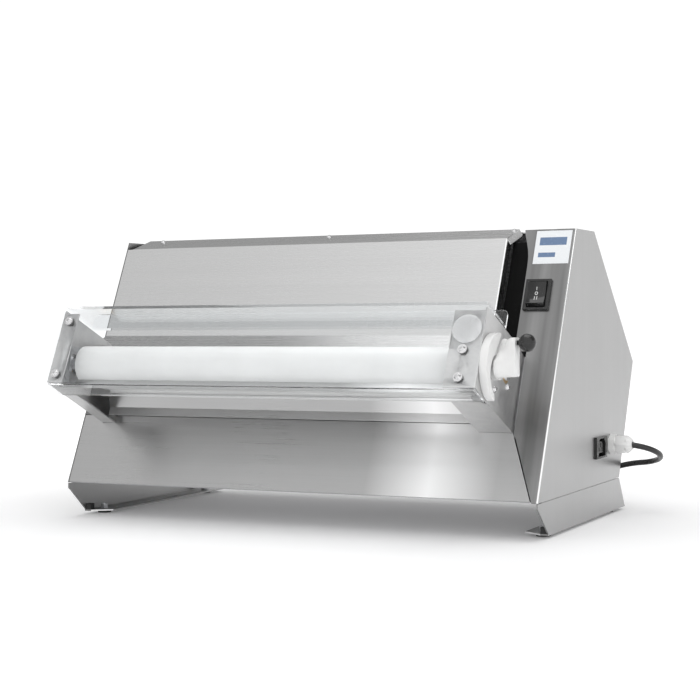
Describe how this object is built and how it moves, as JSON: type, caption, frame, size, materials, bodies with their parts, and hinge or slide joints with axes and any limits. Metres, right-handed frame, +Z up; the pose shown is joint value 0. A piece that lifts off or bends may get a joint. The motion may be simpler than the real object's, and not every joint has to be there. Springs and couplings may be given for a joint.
{
  "type": "dough sheeter",
  "caption": "Counter-top dough sheeter: leaning steel body, driven roller pair on brackets behind a clear guard, thickness adjuster, rocker switch and mains cord.",
  "frame": {"origin": "on the standing surface, under the middle of the machine without its cord", "axes": "+X across the machine to its right seen from the front, +Y to its back, +Z up; the rollers run along X"},
  "size_m": [0.7656, 0.7065, 0.4004],
  "materials": {
    "brushed_body": "horizontal brushed, satin",
    "plain_steel": "mill finish sheet",
    "bright_steel": "polished",
    "zinc": "zinc plated",
    "white_pe": "smooth matt",
    "gear_nylon": "matt",
    "bronze": "plain",
    "clear_acrylic": "clear, polished edges",
    "black_plastic": "gloss",
    "black_matt": "matt",
    "rubber": "matt",
    "light_plastic": "satin",
    "label_film": "gloss film",
    "motor_paint": "satin paint",
    "gearbox_alu": "cast",
    "cord_pvc": "satin"
  },
  "bodies": {
    "machine": {"left_side_panel": "brushed_body", "right_side_panel": "brushed_body", "hood": "brushed_body", "chute_panel": "brushed_body", "rear_cover": "brushed_body", "base_plate": "plain_steel", "top_brace": "plain_steel", "left_foot_rail": "brushed_body", "right_foot_rail": "brushed_body", "rubber_feet": "rubber", "foot_bolts": "zinc", "foot_bumpers": "rubber", "left_frame_plate": "plain_steel", "right_frame_plate": "plain_steel", "left_bracket": "plain_steel", "right_bracket": "plain_steel", "bracket_screws": "bright_steel", "exit_deflector": "plain_steel", "rear_scraper": "white_pe", "front_scraper": "plain_steel", "clear_guard": "clear_acrylic", "guard_screws": "bright_steel", "hood_screws": "bright_steel", "cover_screws": "bright_steel", "blank_disc": "white_pe", "drive_cover": "black_matt", "roller_bushes": "bronze", "slide_guides": "zinc", "index_plate": "white_pe", "idler_pin": "zinc", "gearbox": "gearbox_alu", "motor": "motor_paint", "motor_feet": "plain_steel", "run_capacitor": "zinc", "terminal_block": "black_matt", "switch_bezel": "black_plastic", "switch_body": "black_matt", "label": "label_film", "side_socket": "black_plastic", "gland_body": "light_plastic", "gland_nut": "light_plastic", "mains_cord": "cord_pvc", "cord_coil": "cord_pvc", "mains_plug": "cord_pvc"},
    "rear_roller_set": {"rear_roller": "white_pe", "rear_roller_gear": "gear_nylon", "rear_roller_axle": "bright_steel"},
    "front_roller_set": {"front_roller": "white_pe", "front_roller_gear": "gear_nylon"},
    "front_carriage": {"front_axle_tube": "bright_steel", "axle_blocks": "zinc"},
    "adjuster": {"adjuster_shaft": "bright_steel", "adjuster_hub": "white_pe", "adjuster_set_screw": "black_matt", "ball_knob": "black_plastic"},
    "idler": {"idler_gear": "gear_nylon"},
    "pinion": {"motor_pinion": "zinc"},
    "rocker_key": {"rocker": "black_plastic"}
  },
  "joints": [
    {"name": "rear_roller_spin", "type": "hinge", "parent": "machine", "child": "rear_roller_set", "pos_m": [-0.007, -0.15577, 0.20753], "axis": [1, 0, 0], "continuous": true},
    {"name": "adjuster_turn", "type": "hinge", "parent": "machine", "child": "adjuster", "pos_m": [-0.007, -0.20924, 0.21696], "axis": [1, 0, 0], "range_deg": [0, 90]},
    {"name": "gap_slide", "type": "slide", "parent": "machine", "child": "front_carriage", "axis": [0, -0.9848, 0.1736], "range_m": [0, 0.0034]},
    {"name": "front_roller_spin", "type": "hinge", "parent": "front_carriage", "child": "front_roller_set", "pos_m": [-0.007, -0.20757, 0.21666], "axis": [1, 0, 0], "continuous": true},
    {"name": "idler_spin", "type": "hinge", "parent": "machine", "child": "idler", "pos_m": [-0.007, -0.08993, 0.1874], "axis": [1, 0, 0], "continuous": true},
    {"name": "pinion_spin", "type": "hinge", "parent": "machine", "child": "pinion", "pos_m": [-0.007, -0.03794, 0.14822], "axis": [1, 0, 0], "continuous": true},
    {"name": "switch_rock", "type": "hinge", "parent": "machine", "child": "rocker_key", "pos_m": [0.3035, -0.04952, 0.30715], "axis": [1, 0, 0], "range_deg": [-10, 10]}
  ],
  "couplings": [
    {"joint": "front_roller_spin", "follows": "rear_roller_spin", "ratio": -1},
    {"joint": "adjuster_turn", "follows": "gap_slide", "rad_per_m": 461.99},
    {"joint": "idler_spin", "follows": "rear_roller_spin", "ratio": -0.61765},
    {"joint": "pinion_spin", "follows": "rear_roller_spin", "ratio": 1.1667}
  ]
}
